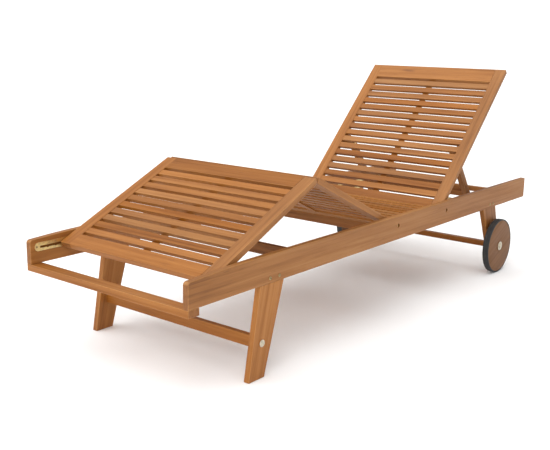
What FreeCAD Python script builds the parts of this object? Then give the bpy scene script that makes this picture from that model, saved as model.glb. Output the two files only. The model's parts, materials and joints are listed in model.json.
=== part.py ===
"""Reclining sun lounger in solid hardwood: a fixed frame on four legs, two of them on wheels,
with a raised backrest on a prop and a two-piece leg rest that folds at the knee.

Axes: +X to the side, +Y towards the head end, +Z up. The floor is z = 0 and the lounger is
centred on x = 0 and y = 0. Sizes are millimetres and degrees.
"""
import FreeCAD, Part
import math
import os
import re

import Sketcher

V = FreeCAD.Vector

SIZES = {
    # the two long side rails
    "length": 1950, "width": 619, "rail_under": 252.6, "rail_tall": 77, "rail_thick": 18,
    "toe_drop": 9, "toe_run": 270, "toe_round": 10, "head_round": 5,
    # legs, bars and beams of the fixed frame
    "bar_tall": 19.5, "bar_deep": 37.5,
    "leg_in": 219.6, "leg_foot": 62.8, "leg_front_lean": 0.171, "leg_rear_lean": 0.305,
    "tongue_tall": 47, "tongue_thick": 9,
    "stretcher_back": 51.4, "stretcher_thick": 18, "stretcher_tall": 32, "stretcher_up": 97,
    "axle_in": 283.5, "wheel_dia": 206.4, "hind_ahead": 22.2, "hind_behind": 63.5,
    "hind_front_lean": 0.47, "hind_rear_lean": 0.33, "hind_end": 62, "hind_round": 18,
    "beam_wide": 22, "beam_tall": 20,
    "head_rail_in": 105, "head_rail_wide": 18, "head_rail_tall": 20,
    "knee_beam_in": 521, "knee_beam_thick": 18, "knee_beam_tall": 33,
    "seat_beam_thick": 18, "seat_beam_tall": 30, "cleat_tall": 20, "cleat_wide": 17,
    # seat slats and the panel frames
    "seat_start": -11.5, "seat_end": 283, "seat_count": 9,
    "slat_wide": 22.7, "slat_thick": 11.6, "slat_sink": 1.5, "tenon": 8, "tenon_thick": 6,
    "frame_thick": 18, "stile_wide": 40.5, "side_gap": 2.5, "batten_wide": 25,
    # backrest
    "pivot_up": 298, "back_pivot": 298, "back_angle": 45, "back_raise": 15,
    "back_end_in": 24,
    "back_foot_rail": 37, "back_head_rail": 64, "back_count": 16, "rail_start": 4,
    # leg rest: a thigh panel and a calf panel
    "thigh_pivot": 27, "leg_angle": 25, "toe_pin_in": 34, "knee_rail": 54, "knee_gap": 0.5,
    "seat_rail": 39, "toe_rail": 48, "toe_tail": 11, "thigh_count": 10, "calf_count": 10,
    # prop behind the backrest
    "prop_at": 0.4043, "prop_pin_up": 14.462, "prop_drop": 22, "prop_wide": 20, "prop_deep": 26,
    "prop_fold": 97.7, "prop_block": 17, "prop_block_long": 40,
    "prop_block_deep": 27, "block_gap": 1.5,
    # pins, bolts and plates
    "pin_dia": 6, "prop_pin_dia": 8, "bolt_dia": 6, "bolt_head": 12, "bolt_head_thick": 3,
    "bolt_recess": 5, "collar_dia": 14, "collar_thick": 2, "screw_dia": 5, "screw_head": 10, "screw_dome": 2,
    "screw_long": 12.5, "washer_dia": 20, "washer_thick": 1.5,
    "plate_thick": 1.5, "plate_tall": 24, "plate_up": 299,
    "groove_deep": 8, "back_groove_deep": 4, "notch_dip": 2.5,
    "prop_dip": 0.0095, "prop_plate_margin": 8,
    # wheels
    "tyre_thick": 5.2, "wheel_thick": 22.7, "wheel_off": 11.9, "axle_dia": 10, "bush_dia": 18,
    "hub_washer": 34, "hub_washer_thick": 2, "nut_dia": 18, "nut_thick": 5,
    # knee hinges
    "hinge_in": 68.5, "hinge_long": 50, "leaf_long": 26, "leaf_thick": 2, "knuckle_dia": 7,
    "hinge_pin_dia": 3.5, "knuckle_set": 4.3,
    # clearances and softened edges
    "running": 0.05, "play": 0.3, "edge": 1.5, "fine_edge": 0.8,
}

doc = FreeCAD.newDocument("sun_lounger")
sheet = doc.addObject("Spreadsheet::Sheet", "Sizes")
for row, (name, size) in enumerate(SIZES.items(), 1):
    sheet.set(f"A{row}", name)
    sheet.set(f"B{row}", str(size))
    sheet.setAlias(f"B{row}", name)
doc.recompute()

WORD = re.compile(r"[a-z_]+")
nodes = {}
starts = {}


def refer(text):
    """An expression with every size's name turned into a reference to the sheet."""
    return WORD.sub(lambda m: f"Sizes.{m.group(0)}" if m.group(0) in SIZES else m.group(0), text)


def value(text):
    """The number an expression gives now."""
    result = sheet.evalExpression(refer(text))
    return float(getattr(result, "Value", result))


def bind(thing, **expressions):
    for key, text in expressions.items():
        thing.setExpression(key, refer(text))


def shift(x="0", y="0", z="0", turn="0"):
    """The expression of a move by x, y, z and a turn about X."""
    return f"placement(vector({x}; {y}; {z}); rotation(vector(1; 0; 0); {turn}))"


def sketch_outline(body, plane, outline):
    """Draw a closed outline on one of the body's origin planes.

    Each corner is (u, v); a third entry makes the edge that leaves it an arc tangent to the
    edge before.
    """
    sketch = body.newObject("Sketcher::SketchObject", f"{body.Name}_outline")
    origin_plane = [o for o in body.Origin.OriginFeatures if o.Role == plane][0]
    sketch.AttachmentSupport = [(origin_plane, "")]
    sketch.MapMode = "FlatFace"
    spots = [V(value(corner[0]), value(corner[1]), 0) for corner in outline]
    count = len(outline)
    heads, tails = [], []
    for i, corner in enumerate(outline):
        a, b = spots[i], spots[(i + 1) % count]
        if len(corner) == 2:
            sketch.addGeometry(Part.LineSegment(a, b), False)
            heads.append(1)
            tails.append(2)
            continue
        along = (a - spots[i - 1]).normalize()
        left = V(-along.y, along.x, 0)
        chord = b - a
        reach = chord.dot(chord) / (2 * chord.dot(left))
        centre = a + left * reach
        first, last = (a, b) if reach > 0 else (b, a)
        begin = math.atan2(first.y - centre.y, first.x - centre.x)
        finish = math.atan2(last.y - centre.y, last.x - centre.x)
        if finish < begin:
            finish += 2 * math.pi
        circle = Part.Circle(centre, V(0, 0, 1), abs(reach))
        sketch.addGeometry(Part.ArcOfCircle(circle, begin, finish), False)
        heads.append(1 if reach > 0 else 2)
        tails.append(2 if reach > 0 else 1)
    for i in range(count):
        k = (i + 1) % count
        kind = "Tangent" if len(outline[k]) == 3 else "Coincident"
        sketch.addConstraint(Sketcher.Constraint(kind, i, tails[i], k, heads[k]))
    for i, corner in enumerate(outline):
        for kind, text, now in (("DistanceX", corner[0], spots[i].x),
                                ("DistanceY", corner[1], spots[i].y)):
            index = sketch.addConstraint(Sketcher.Constraint(kind, -1, 1, i, heads[i], now))
            bind(sketch, **{f"Constraints[{index}]": text})
    return sketch


AXES = {"YZ_Plane": V(1, 0, 0), "XZ_Plane": V(0, 1, 0), "XY_Plane": V(0, 0, 1)}


def across(edge, axis):
    """True for a straight edge parallel to the axis."""
    straight = isinstance(edge.Curve, (Part.Line, Part.LineSegment))
    return straight and abs(edge.tangentAt(edge.FirstParameter).dot(axis)) > 0.999


def prism(label, plane, outline, span, ease=None, which="all", rounds=()):
    """A body: an outline padded over a span of the axis square to its plane.

    rounds holds (corner number, radius) for rounded corners; ease softens all the other
    edges, or only the ones along the pad.
    """
    body = doc.addObject("PartDesign::Body", label)
    sketch = sketch_outline(body, plane, outline)
    pad = body.newObject("PartDesign::Pad", f"{label}_pad")
    pad.Profile = sketch
    bind(pad, Length=f"({span[1]}) - ({span[0]})")
    start = {"YZ_Plane": shift(x=span[0]), "XZ_Plane": shift(y=span[1]),
             "XY_Plane": shift(z=span[0])}[plane]
    doc.recompute()
    axis = AXES[plane]
    local = {"YZ_Plane": lambda p: (p.y, p.z), "XZ_Plane": lambda p: (p.x, p.z),
             "XY_Plane": lambda p: (p.x, p.y)}[plane]
    for corner, radius in rounds:
        spot = (value(outline[corner][0]), value(outline[corner][1]))
        solid = body.Tip.Shape
        edges = [f"Edge{i}" for i, e in enumerate(solid.Edges, 1)
                 if across(e, axis) and math.dist(local(e.CenterOfMass), spot) < 0.01]
        soften(body, edges, radius)
    if ease:
        solid = body.Tip.Shape
        edges = [f"Edge{i}" for i, e in enumerate(solid.Edges, 1)
                 if which == "all" or across(e, axis)]
        soften(body, edges, ease)
    starts[body.Name] = start
    bind(body, Placement=start)
    return body


def soften(body, edges, radius):
    """Round the named edges of a body."""
    before = body.Tip
    fillet = body.newObject("PartDesign::Fillet", f"{body.Name}_round")
    fillet.Base = (before, edges)
    bind(fillet, Radius=radius)
    doc.recompute()


def board(label, x, y, z, grain="x", ease="edge", which="along"):
    """A plank with softened edges along its grain, from pairs of expressions."""
    if grain == "x":
        plane, u, v, span = "YZ_Plane", y, z, x
    elif grain == "y":
        plane, u, v, span = "XZ_Plane", x, z, y
    else:
        plane, u, v, span = "XY_Plane", x, y, z
    outline = [(u[0], v[0]), (u[1], v[0]), (u[1], v[1]), (u[0], v[1])]
    return prism(label, plane, outline, span, ease, which)


def block(x, y, z):
    """A plain box, for a recess or the core of a plank."""
    box = doc.addObject("Part::Box", "block")
    bind(box, Length=f"({x[1]}) - ({x[0]})", Width=f"({y[1]}) - ({y[0]})",
         Height=f"({z[1]}) - ({z[0]})", Placement=shift(x[0], y[0], z[0]))
    return box


def rod(dia, x, y="0", z="0"):
    """A round bar along X, from a diameter and a pair of ends."""
    bar = doc.addObject("Part::Cylinder", "rod")
    bind(bar, Radius=f"({dia}) / 2", Height=f"({x[1]}) - ({x[0]})",
         Placement=f"placement(vector({x[0]}; {y}; {z}); rotation(vector(0; 1; 0); 90))")
    return bar


def join(label, pieces):
    whole = doc.addObject("Part::MultiFuse", label)
    whole.Shapes = pieces
    return whole


def cut(label, base, tools):
    """The base less the tools."""
    result = doc.addObject("Part::Cut", label)
    result.Base = base
    result.Tool = tools[0] if len(tools) == 1 else join(f"{label}_tools", tools)
    return result


def group(label, pieces):
    result = doc.addObject("Part::Compound", label)
    result.Links = pieces
    return result


def mirror(label, source):
    """The same piece on the other side of x = 0."""
    result = doc.addObject("Part::Mirroring", label)
    result.Source = source
    result.Base = V(0, 0, 0)
    result.Normal = V(1, 0, 0)
    return result


def node(label, thing, frame=None):
    """Give a finished piece its name, and its place on the panel it belongs to."""
    if frame:
        own = starts.get(thing.Name)
        bind(thing, Placement=f"{frame} * {own}" if own else frame)
    thing.Label = label
    nodes[label] = thing


def pair(stem, thing):
    """A piece on the right side and its mirror image on the left."""
    left = mirror(f"{stem}_left", thing)
    node(f"{stem}_right", thing)
    node(f"{stem}_left", left)


# ---------------------------------------------------------------- shared places
HALF_L = "(length / 2)"
OUT = "(width / 2)"
IN = "(width / 2 - rail_thick)"
MID = "(width / 2 - rail_thick + tongue_thick)"
EDGE_X = "(width / 2 - rail_thick - side_gap)"
STILE_X = "(width / 2 - rail_thick - side_gap - stile_wide)"
RAIL_TOP = "(rail_under + rail_tall)"
HALF_T = "(frame_thick / 2)"
SLAT_TOP = "(frame_thick / 2 - slat_sink)"
SLAT_LOW = "(frame_thick / 2 - slat_sink - slat_thick)"
SEAT_TOP = "(pivot_up + frame_thick / 2)"
BACK_LONG = "(length / 2 - back_end_in - back_pivot)"
KNEE = "((length / 2 - toe_pin_in - thigh_pivot) / 2)"
CALF_LONG = "((length / 2 - toe_pin_in - thigh_pivot) / 2 + toe_tail)"
AXLE_Y = "(length / 2 - axle_in)"
AXLE_Z = "(wheel_dia / 2)"
BACK = shift(y="back_pivot", z="pivot_up", turn="back_angle")
THIGH = shift(y="-thigh_pivot", z="pivot_up", turn="-leg_angle")
CALF = f"{THIGH} * {shift(y=f'-{KNEE}', z=f'-{HALF_T}', turn='2 * leg_angle')}"
PROP_S = f"(prop_at * {BACK_LONG})"
PROP_PIN_Z = "(rail_under + prop_pin_up)"
PROP_R = (f"((pivot_up + {PROP_S} * sin(back_angle) - prop_drop * cos(back_angle)"
          f" - {PROP_PIN_Z}) / sin(prop_fold - back_angle))")
PROP = f"{BACK} * {shift(y=PROP_S, z='-prop_drop', turn='-prop_fold')}"
TOE_PIN_Y = f"(-thigh_pivot - 2 * {KNEE} * cos(leg_angle) - frame_thick * sin(leg_angle))"
TOE_FLAT_Y = f"(-thigh_pivot - 2 * {KNEE})"
PROP_FLAT_Y = f"(back_pivot + {PROP_S} + {PROP_R})"
STEEP = "(back_angle + back_raise)"
PROP_STEEP = "(prop_fold - back_angle + back_raise * (prop_fold / back_angle - 1))"
PROP_UP_Y = (f"(back_pivot + {PROP_S} * cos({STEEP}) + prop_drop * sin({STEEP})"
             f" + {PROP_R} * cos({PROP_STEEP}))")
PIN_SLOT = "(pin_dia + 2 * play)"
PROP_SLOT = "(prop_pin_dia + 2 * play)"
PROP_SLOT_LOW = f"({PROP_PIN_Z} - {PROP_SLOT} / 2 - prop_dip * {PROP_R})"
PROP_SLOT_HIGH = f"(pivot_up - prop_drop + {PROP_SLOT} / 2 + 1.3)"
SHANK_IN = "(width / 2 - rail_thick - side_gap - stile_wide + 3 * tenon + 1)"
HINGE_X = "(width / 2 - rail_thick - side_gap - stile_wide - hinge_in)"

# ---------------------------------------------------------------- legs
front_foot = f"(-{HALF_L} + leg_in)"
tongue_top = "(rail_under + tongue_tall)"
front_outline = [
    (front_foot, "0"),
    (f"{front_foot} + leg_foot", "0"),
    (f"{front_foot} + leg_foot + leg_rear_lean * {tongue_top}", tongue_top),
    (f"{front_foot} + leg_front_lean * {tongue_top}", tongue_top),
]
hind_low_front = f"({AXLE_Y} - hind_ahead + hind_front_lean * ({AXLE_Z} - hind_end))"
hind_low_rear = f"({AXLE_Y} + hind_behind + hind_rear_lean * ({AXLE_Z} - hind_end))"
hind_outline = [
    (hind_low_front, "hind_end"),
    (hind_low_rear, "hind_end"),
    (f"{hind_low_rear} - hind_rear_lean * ({tongue_top} - hind_end)", tongue_top),
    (f"{hind_low_front} - hind_front_lean * ({tongue_top} - hind_end)", tongue_top),
]


def screw(y, z, inner, outer):
    """The shank and the head of a round-headed screw driven in from the outside."""
    return [rod("screw_dia", (inner, outer), y, z),
            rod("screw_head", (outer, f"{outer} + screw_dome"), y, z)]


leg_screw_z = "(rail_under + 13.5)"
front_screw_y = [f"({front_foot} + 82.4)", f"({front_foot} + 120.4)"]
hind_screw_y = [f"({AXLE_Y} - 37)", f"({AXLE_Y} - 9)"]
leg_screw_spots = [(y, leg_screw_z) for y in front_screw_y + hind_screw_y]
stretcher_y = f"({front_foot} + stretcher_back)"
stretcher_spot = (stretcher_y, "stretcher_up")

front_leg = prism("front_leg_blank", "YZ_Plane", front_outline, (IN, OUT), "edge")
shoulder = block((MID, f"{OUT} + 1"), (front_foot, f"{front_foot} + 300"),
                 ("rail_under", f"{tongue_top} + 1"))
bores = [rod("screw_dia", (IN, f"{OUT} + 1"), y, leg_screw_z) for y in front_screw_y]
stretcher_bore = rod("screw_dia", (IN, f"{OUT} + 1"), *stretcher_spot)
pair("front_leg", cut("front_leg", front_leg, [shoulder, *bores, stretcher_bore]))

hind_leg = prism("rear_leg_blank", "YZ_Plane", hind_outline, (IN, OUT), "edge",
                 rounds=((0, "hind_round"), (1, "hind_round")))
shoulder = block((MID, f"{OUT} + 1"), (f"{AXLE_Y} - 300", f"{AXLE_Y} + 200"),
                 ("rail_under", f"{tongue_top} + 1"))
bores = [rod("screw_dia", (IN, f"{OUT} + 1"), y, leg_screw_z) for y in hind_screw_y]
axle_bore = rod("axle_dia", (IN, f"{OUT} + 1"), AXLE_Y, AXLE_Z)
prop_groove = block((f"{IN} - 1", f"{IN} + back_groove_deep"),
                    (f"{PROP_UP_Y} - {PROP_SLOT} / 2 - 4", f"{PROP_FLAT_Y} + {PROP_SLOT} / 2 + 2"),
                    (f"{PROP_SLOT_LOW} - notch_dip - 1", f"{PROP_SLOT_HIGH} + 1"))
pair("rear_leg", cut("rear_leg", hind_leg, [shoulder, *bores, axle_bore, prop_groove]))

# ---------------------------------------------------------------- side rails
rail_outline = [
    (f"-{HALF_L}", "rail_under"),
    (HALF_L, "rail_under"),
    (HALF_L, RAIL_TOP),
    (f"-{HALF_L} + toe_run", RAIL_TOP, "arc"),
    (f"-{HALF_L}", f"{RAIL_TOP} - toe_drop"),
]
rail = prism("side_rail_blank", "YZ_Plane", rail_outline, (IN, OUT), "edge",
             rounds=((4, "toe_round"), (2, "head_round"), (1, "head_round")))
housings = [prism(f"housing_{i}", "YZ_Plane", outline, (f"{IN} - 1", MID))
            for i, outline in enumerate((front_outline, hind_outline))]
below = block((f"{IN} - 2", f"{MID} + 1"), (f"-{HALF_L}", HALF_L), ("-10", "rail_under"))
housings = [cut(f"housing_top_{i}", tool, [below]) for i, tool in enumerate(housings)]
toe_groove = block((f"{IN} - 1", f"{IN} + groove_deep"),
                   (f"{TOE_FLAT_Y} - {PIN_SLOT} / 2 - 1", f"{TOE_PIN_Y} + {PIN_SLOT} / 2 + 1"),
                   (f"pivot_up - {PIN_SLOT} / 2 - notch_dip - 1", f"pivot_up + {PIN_SLOT} / 2 + 1"))
pivot_bores = []
for y in ("back_pivot", "-thigh_pivot"):
    pivot_bores.append(rod("bolt_dia + 2 * running", (f"{IN} - 1", f"{OUT} + 1"), y, "pivot_up"))
    pivot_bores.append(rod("bolt_head + 2", (f"{OUT} - bolt_head_thick - bolt_recess",
                                             f"{OUT} + 1"), y, "pivot_up"))
bores = [rod("screw_dia", (f"{OUT} - screw_long", f"{OUT} + 1"), y, z) for y, z in leg_screw_spots]
plate_low = "(plate_up - plate_tall / 2)"
toe_plate_spots = [(f"({TOE_FLAT_Y} - 14)", "plate_up"), (f"({TOE_PIN_Y} + 12)", "plate_up")]
prop_plate_y = (f"({PROP_UP_Y} - 24)", f"({PROP_FLAT_Y} + 22)")
prop_plate_spots = [(f"({PROP_UP_Y} - 17)", f"({PROP_SLOT_LOW} + 10)"),
                    (f"({PROP_FLAT_Y} + 15)", f"({PROP_SLOT_LOW} + 10)")]
plate_screws = [rod("screw_dia - 1.5", (f"{IN} - plate_thick - 0.4", f"{IN} + 10"), y, z)
                for y, z in toe_plate_spots + prop_plate_spots]
plate_bores = [rod("screw_dia - 1.5", (f"{IN} - plate_thick - 1", f"{IN} + 10"), y, z)
               for y, z in toe_plate_spots + prop_plate_spots]
pair("side_rail", cut("side_rail", rail, [*housings, toe_groove, prop_groove, *pivot_bores,
                                          *bores, *plate_bores]))

# ---------------------------------------------------------------- cross bars of the frame
node("foot_bar", board("foot_bar", (f"-{OUT}", OUT), (f"-{HALF_L}", f"-{HALF_L} + bar_deep"),
                       ("rail_under - bar_tall", "rail_under"), which="all"))
node("head_rail", board("head_rail", (f"-{IN}", IN),
                        (f"{HALF_L} - head_rail_in - head_rail_wide / 2",
                         f"{HALF_L} - head_rail_in + head_rail_wide / 2"),
                        (f"{SEAT_TOP} - frame_thick - 1 - head_rail_tall",
                         f"{SEAT_TOP} - frame_thick - 1")))
knee_beam_y = f"(-{HALF_L} + knee_beam_in)"
node("knee_beam", board("knee_beam", (f"-{IN}", IN),
                        (f"{knee_beam_y} - knee_beam_thick / 2",
                         f"{knee_beam_y} + knee_beam_thick / 2"),
                        ("rail_under + 0.4", "rail_under + 0.4 + knee_beam_tall")))
beam_top = f"({SEAT_TOP} - slat_thick - slat_thick)"
for name, y in (("seat_beam_front", "0"), ("seat_beam_rear", "(seat_end - 13)")):
    node(name, board(name, (f"-{IN}", IN),
                     (f"{y} - seat_beam_thick / 2", f"{y} + seat_beam_thick / 2"),
                     (f"{beam_top} - seat_beam_tall", beam_top)))
front_stretcher = board("front_stretcher_blank", (f"-{IN}", IN),
                        (f"{stretcher_y} - stretcher_thick / 2",
                         f"{stretcher_y} + stretcher_thick / 2"),
                        ("stretcher_up - stretcher_tall / 2", "stretcher_up + stretcher_tall / 2"))
ends = [rod("screw_dia", (f"{IN} - 30", f"{IN} + 1"), *stretcher_spot)]
ends.append(mirror("stretcher_bore_left", ends[0]))
node("front_stretcher", cut("front_stretcher", front_stretcher, ends))
axle_beam = board("axle_beam_blank", (f"-{IN}", IN),
                  (f"{AXLE_Y} - beam_wide / 2", f"{AXLE_Y} + beam_wide / 2"),
                  (f"{AXLE_Z} - beam_tall / 2", f"{AXLE_Z} + beam_tall / 2"))
axle_end = f"({OUT} + wheel_off + wheel_thick + play + hub_washer_thick + nut_thick - 2)"
node("axle_beam", cut("axle_beam", axle_beam,
                      [rod("axle_dia", (f"-{IN} - 1", f"{IN} + 1"), AXLE_Y, AXLE_Z)]))
node("axle_rod", rod("axle_dia", (f"-{axle_end}", axle_end), AXLE_Y, AXLE_Z))

# ---------------------------------------------------------------- seat
seat_pitch = "((seat_end - seat_start - slat_wide) / (seat_count - 1))"
slats = []
for k in range(int(SIZES["seat_count"])):
    y = f"(seat_start + {k} * {seat_pitch})"
    slats.append(board(f"seat_slat_{k}", (f"-{IN} + 0.5", f"{IN} - 0.5"), (y, f"{y} + slat_wide"),
                       (f"{SEAT_TOP} - slat_thick", SEAT_TOP), ease="fine_edge"))
node("seat_slats", group("seat_slats", slats))
under = f"({SEAT_TOP} - slat_thick)"
cleat = board("seat_cleat", (f"{IN} - cleat_wide", IN), ("seat_start + 4", "seat_end - 4"),
              (f"{under} - cleat_tall", under), grain="y")
gaps = [block((f"{IN} - cleat_wide - 1", f"{IN} + 1"),
              (f"{y} - seat_beam_thick / 2", f"{y} + seat_beam_thick / 2"),
              (f"{beam_top} - seat_beam_tall", beam_top)) for y in ("0", "(seat_end - 13)")]
pair("seat_cleat", cut("seat_cleat_cut", cleat, gaps))
node("seat_batten", board("seat_batten", ("-batten_wide / 2", "batten_wide / 2"),
                          ("seat_start + 2", "seat_end - 2"), (beam_top, under), grain="y"))


# ---------------------------------------------------------------- panels
def along(a, b, way):
    """A span of distances from the pivot as a span of y, for a panel that runs either way."""
    return (a, b) if way > 0 else (f"-({b})", f"-({a})")


def panel(name, frame, way, lift, start, end, near_rail, far_rail, count, round_at, near_name,
          far_name, extra_cuts=()):
    """A slatted panel in a frame of two stiles and two rails.

    The panel runs from start to end along its own y. The rails are near_rail and far_rail
    wide, lift is the height of its middle plane, and round_at names the end whose stiles are
    rounded about a pin ("near", "far").
    """
    sign = "" if way > 0 else "-"
    low, high = f"({lift} - {HALF_T})", f"({lift} + {HALF_T})"
    if round_at == "near":
        outline = [("0", low), (f"{sign}{end}", low), (f"{sign}{end}", high), ("0", high, "arc")]
    else:
        outline = [(f"{sign}{KNEE}", high), (f"{sign}{start}", high), (f"{sign}{start}", low),
                   (f"{sign}{KNEE}", low, "arc")]
        if name == "calf":
            outline = [(f"{sign}{end}", low), (f"{sign}{end}", high), (f"{sign}{start}", high),
                       (f"{sign}{start}", low)]
    stile = prism(f"{name}_stile_blank", "YZ_Plane", outline, (STILE_X, EDGE_X), "edge")
    first = start if round_at == "far" else "(-rail_start)"
    near_end = f"({first} + {near_rail})"
    far_start = f"({end} - {far_rail})"
    sockets = []
    for label, a, b in ((near_name, first, near_end), (far_name, far_start, end)):
        y = along(a, b, way)
        bar = board(f"{label}_bar", (f"-{STILE_X}", STILE_X), y, (low, high))
        core_y = (f"{y[0]} + 6", f"{y[1]} - 6")
        core_z = (f"{lift} - tenon_thick / 2", f"{lift} + tenon_thick / 2")
        core = block((f"-{STILE_X} - 3 * tenon", f"{STILE_X} + 3 * tenon"), core_y, core_z)
        sockets.append(block((f"{STILE_X} - 1", f"{STILE_X} + 3 * tenon"), core_y, core_z))
        whole = join(f"{label}_joined", [bar, core])
        cuts = [tool for owner, tool in extra_cuts if owner == label]
        node(label, cut(label, whole, cuts) if cuts else whole, frame)
    gap = f"(({far_start} - {near_end} - {count} * slat_wide) / ({count} + 1))"
    pieces = []
    for k in range(int(SIZES[count])):
        a = f"({near_end} + {gap} + {k} * ({gap} + slat_wide))"
        y = along(a, f"({a} + slat_wide)", way)
        z = (f"{lift} + {SLAT_LOW}", f"{lift} + {SLAT_TOP}")
        bar = board(f"{name}_slat_{k}", (f"-{STILE_X}", STILE_X), y, z, ease="fine_edge")
        core_y = (f"{y[0]} + 2", f"{y[1]} - 2")
        core_z = (f"{z[0]} + 2", f"{z[0]} + 2 + tenon_thick")
        core = block((f"-{STILE_X} - tenon", f"{STILE_X} + tenon"), core_y, core_z)
        sockets.append(block((f"{STILE_X} - 1", f"{STILE_X} + tenon"), core_y, core_z))
        pieces.append(join(f"{name}_slat_{k}_tenoned", [bar, core]))
    node(f"{name}_slats", group(f"{name}_slats", pieces), frame)
    node(f"{name}_batten", board(f"{name}_batten", ("-batten_wide / 2", "batten_wide / 2"),
                                 along(near_end, far_start, way), (low, f"{lift} + {SLAT_LOW}"),
                                 grain="y"), frame)
    cuts = [tool for owner, tool in extra_cuts if owner == "stile"]
    local = cut(f"{name}_stile_local", stile, sockets + cuts)
    for side, source in (("right", local), ("left", mirror(f"{name}_stile_twin", local))):
        node(f"{name}_stile_{side}", group(f"{name}_stile_{side}", [source]), frame)


def pivot_bolt(y="0"):
    """Shouldered pivot bolt: head outside the rail, collar in the gap, shank in the stile."""
    return [rod("bolt_head", (f"{OUT} - bolt_head_thick - bolt_recess + play",
                              f"{OUT} - bolt_recess + play"), y),
            rod("bolt_dia", (SHANK_IN, f"{OUT} - bolt_recess"), y),
            rod("collar_dia", (EDGE_X, f"{EDGE_X} + collar_thick"), y)]


def both(label, pieces, frame, mirrored=True):
    """One node of a piece on the right and its mirror image on the left."""
    whole = join(f"{label}_one", pieces) if len(pieces) > 1 else pieces[0]
    node(label, group(label, [whole, mirror(f"{label}_twin", whole)]), frame)


bolt_bore = rod("bolt_dia", (SHANK_IN, f"{EDGE_X} + 1"))
block_x = (f"({STILE_X} - prop_block)", STILE_X)
prop_x = (f"({STILE_X} - prop_block - play - prop_wide)", f"({STILE_X} - prop_block - play)")

panel("back", BACK, 1, "0", "0", BACK_LONG, "back_foot_rail", "back_head_rail", "back_count",
      "near", "back_bottom_rail", "back_top_rail", [("stile", bolt_bore)])
both("back_pivot_bolts", pivot_bolt(), BACK)
panel("thigh", THIGH, -1, "0", "0", f"({KNEE} - knee_gap)", "seat_rail", "knee_rail",
      "thigh_count", "near", "thigh_seat_rail", "thigh_knee_rail",
      [("stile", rod("bolt_dia", (SHANK_IN, f"{EDGE_X} + 1"))),
       ("thigh_knee_rail", block((f"{HINGE_X} - hinge_long / 2 - 1", f"{HINGE_X} + hinge_long / 2 + 1"),
                                 (f"-{KNEE} - 1", f"-{KNEE} + knuckle_set + play"),
                                 (f"-{HALF_T} - 1", f"-{HALF_T} + knuckle_set + play"))),
       ("thigh_knee_rail", block((f"-{HINGE_X} - hinge_long / 2 - 1",
                                  f"-{HINGE_X} + hinge_long / 2 + 1"),
                                 (f"-{KNEE} - 1", f"-{KNEE} + knuckle_set + play"),
                                 (f"-{HALF_T} - 1", f"-{HALF_T} + knuckle_set + play")))])
both("thigh_pivot_bolts", pivot_bolt(), THIGH)
toe_pin = (SHANK_IN, f"({IN} + groove_deep - 1.5)")
panel("calf", CALF, -1, HALF_T, "knee_gap", CALF_LONG, "knee_rail", "toe_rail", "calf_count",
      "far", "calf_knee_rail", "calf_foot_rail",
      [("stile", rod("pin_dia", (toe_pin[0], f"{EDGE_X} + 1"), f"-{KNEE}", HALF_T)),
       ("calf_knee_rail", block((f"{HINGE_X} - hinge_long / 2 - 1", f"{HINGE_X} + hinge_long / 2 + 1"),
                                ("-knuckle_set - play", "1"), ("-1", "knuckle_set + play"))),
       ("calf_knee_rail", block((f"-{HINGE_X} - hinge_long / 2 - 1",
                                 f"-{HINGE_X} + hinge_long / 2 + 1"),
                                ("-knuckle_set - play", "1"), ("-1", "knuckle_set + play")))])
both("calf_foot_pins", [rod("pin_dia", toe_pin, f"-{KNEE}", HALF_T)], CALF)


# ---------------------------------------------------------------- knee hinges
def leaf(name, way, own):
    """One leaf of a butt hinge about the origin; own lists its knuckles of the five."""
    step = "(hinge_long / 5)"
    left = f"({HINGE_X} - hinge_long / 2)"
    y = along("knuckle_set", "leaf_long", way)
    plate = block((left, f"{left} + hinge_long"), y, ("-leaf_thick", "0"))
    pieces = [plate]
    for k in own:
        x = (f"{left} + {k} * {step} + 0.15", f"{left} + {k + 1} * {step} - 0.15")
        tab = block(x, along("0", "knuckle_set + 1", way), ("-leaf_thick", "0"))
        pieces.append(tab)
        pieces.append(rod("knuckle_dia", x))
    return join(name, pieces)


thigh_leaf = leaf("thigh_leaf", 1, (1, 3))
thigh_leaf = join("thigh_leaf_pinned", [thigh_leaf, rod(
    "hinge_pin_dia", (f"{HINGE_X} - hinge_long / 2", f"{HINGE_X} + hinge_long / 2"))])
calf_leaf = cut("calf_leaf_bored", leaf("calf_leaf", -1, (0, 2, 4)), [rod(
    "hinge_pin_dia + 2 * running",
    (f"{HINGE_X} - hinge_long / 2 - 1", f"{HINGE_X} + hinge_long / 2 + 1"))])
KNEE_FRAME = f"{THIGH} * {shift(y=f'-{KNEE}', z=f'-{HALF_T}')}"
both("thigh_hinge_leaves", [thigh_leaf], KNEE_FRAME)
both("calf_hinge_leaves", [calf_leaf], CALF)

# ---------------------------------------------------------------- prop
prop_outline = [(f"{PROP_R}", "prop_deep / 2"), ("0", "prop_deep / 2", "arc"),
                ("0", "-prop_deep / 2"), (f"{PROP_R}", "-prop_deep / 2", "arc")]
prop_leg = prism("prop_leg_blank", "YZ_Plane", prop_outline, prop_x, "edge")
prop_bores = [rod("prop_pin_dia + 2 * running", (f"{prop_x[0]} - 1", f"{prop_x[1]} + 1")),
              rod("prop_pin_dia", (f"{prop_x[0]} - 1", f"{prop_x[1]} + 1"), PROP_R)]
prop_local = cut("prop_leg_local", prop_leg, prop_bores)
for side, source in (("right", prop_local), ("left", mirror("prop_leg_twin", prop_local))):
    node(f"prop_leg_{side}", group(f"prop_leg_{side}", [source]), PROP)
node("prop_crossbar", board("prop_crossbar", (f"-{prop_x[0]}", prop_x[0]),
                            (f"{PROP_R} - 60", f"{PROP_R} - 34"),
                            ("-prop_deep / 2 + 3", "prop_deep / 2 - 3")), PROP)
prop_pin_end = f"({IN} + back_groove_deep - 0.8)"
pin = rod("prop_pin_dia", (f"-{prop_pin_end}", prop_pin_end), PROP_R)
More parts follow.
